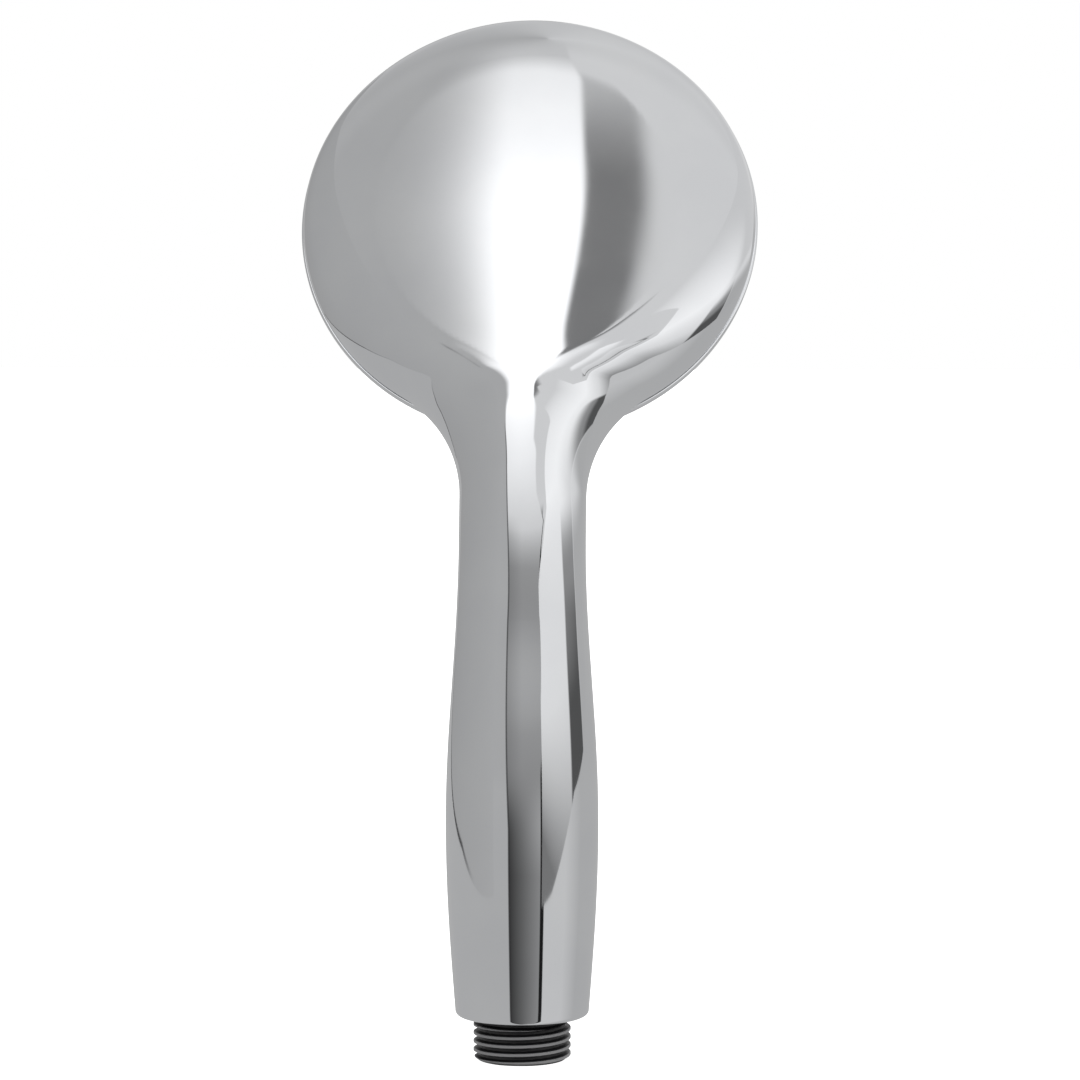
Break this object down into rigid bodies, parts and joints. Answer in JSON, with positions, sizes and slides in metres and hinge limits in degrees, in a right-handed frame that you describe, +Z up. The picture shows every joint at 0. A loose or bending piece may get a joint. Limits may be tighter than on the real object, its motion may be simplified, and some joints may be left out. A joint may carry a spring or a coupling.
{
  "type": "handheld shower head",
  "caption": "Handheld shower head in polished chrome with a round tilted head, tapered handle, turning selector dial and black threaded hose inlet.",
  "frame": {"origin": "centre of the inlet spigot's lower end face, on the thread axis", "axes": "+Z up along the handle axis, -Y towards the spray face (forward), +X to the left of someone facing the spray"},
  "size_m": [0.1, 0.0751, 0.2234],
  "materials": {
    "chrome": "polished",
    "black_plastic": "satin",
    "grey_plastic": "satin",
    "white_plastic": "gloss",
    "silicone": "matte",
    "seal_rubber": "matte",
    "steel": "brushed"
  },
  "bodies": {
    "shell": {"body_shell": "chrome", "front_ring": "chrome", "face_plate": "white_plastic", "nozzle_mat": "silicone", "chamber_plate": "grey_plastic", "chamber_seal": "seal_rubber", "distributor": "grey_plastic", "valve_gasket": "seal_rubber", "housing_screws": "steel", "dial_seal": "seal_rubber", "waterway_tube": "white_plastic", "tube_seal_upper": "seal_rubber", "tube_seal_lower": "seal_rubber", "inlet_spigot": "black_plastic", "spigot_seal": "seal_rubber", "check_valve_body": "white_plastic", "check_valve_seal": "seal_rubber", "check_valve_spring": "steel", "flow_regulator": "grey_plastic", "regulator_ring": "seal_rubber", "inlet_filter": "steel"},
    "dial": {"selector_dial": "grey_plastic", "dial_cap": "chrome", "valve_disc": "white_plastic", "valve_washer": "steel", "dial_screw": "steel", "detent_spring": "steel"},
    "ball": {"detent_ball": "steel"},
    "turbine": {"turbine": "white_plastic"},
    "poppet": {"check_valve_poppet": "grey_plastic", "poppet_seal": "seal_rubber"}
  },
  "joints": [
    {"name": "dial_turn", "type": "hinge", "parent": "shell", "child": "dial", "pos_m": [0, -0.033, 0.1786], "axis": [0, -0.887, -0.4617], "range_deg": [-45, 45]},
    {"name": "detent_ball_press", "type": "slide", "parent": "dial", "child": "ball", "axis": [0, -0.887, -0.4617], "range_m": [0, 0.0004], "stiffness_N_per_m": 100, "springref_m": -0.0005, "deforming": ["detent_spring"]},
    {"name": "turbine_spin", "type": "hinge", "parent": "shell", "child": "turbine", "pos_m": [0, -0.033, 0.1786], "axis": [0, -0.887, -0.4617], "continuous": true},
    {"name": "check_valve_lift", "type": "slide", "parent": "shell", "child": "poppet", "axis": [0, 0, 1], "range_m": [0, 0.0025], "stiffness_N_per_m": 120, "springref_m": -0.002, "deforming": ["check_valve_spring"]}
  ]
}
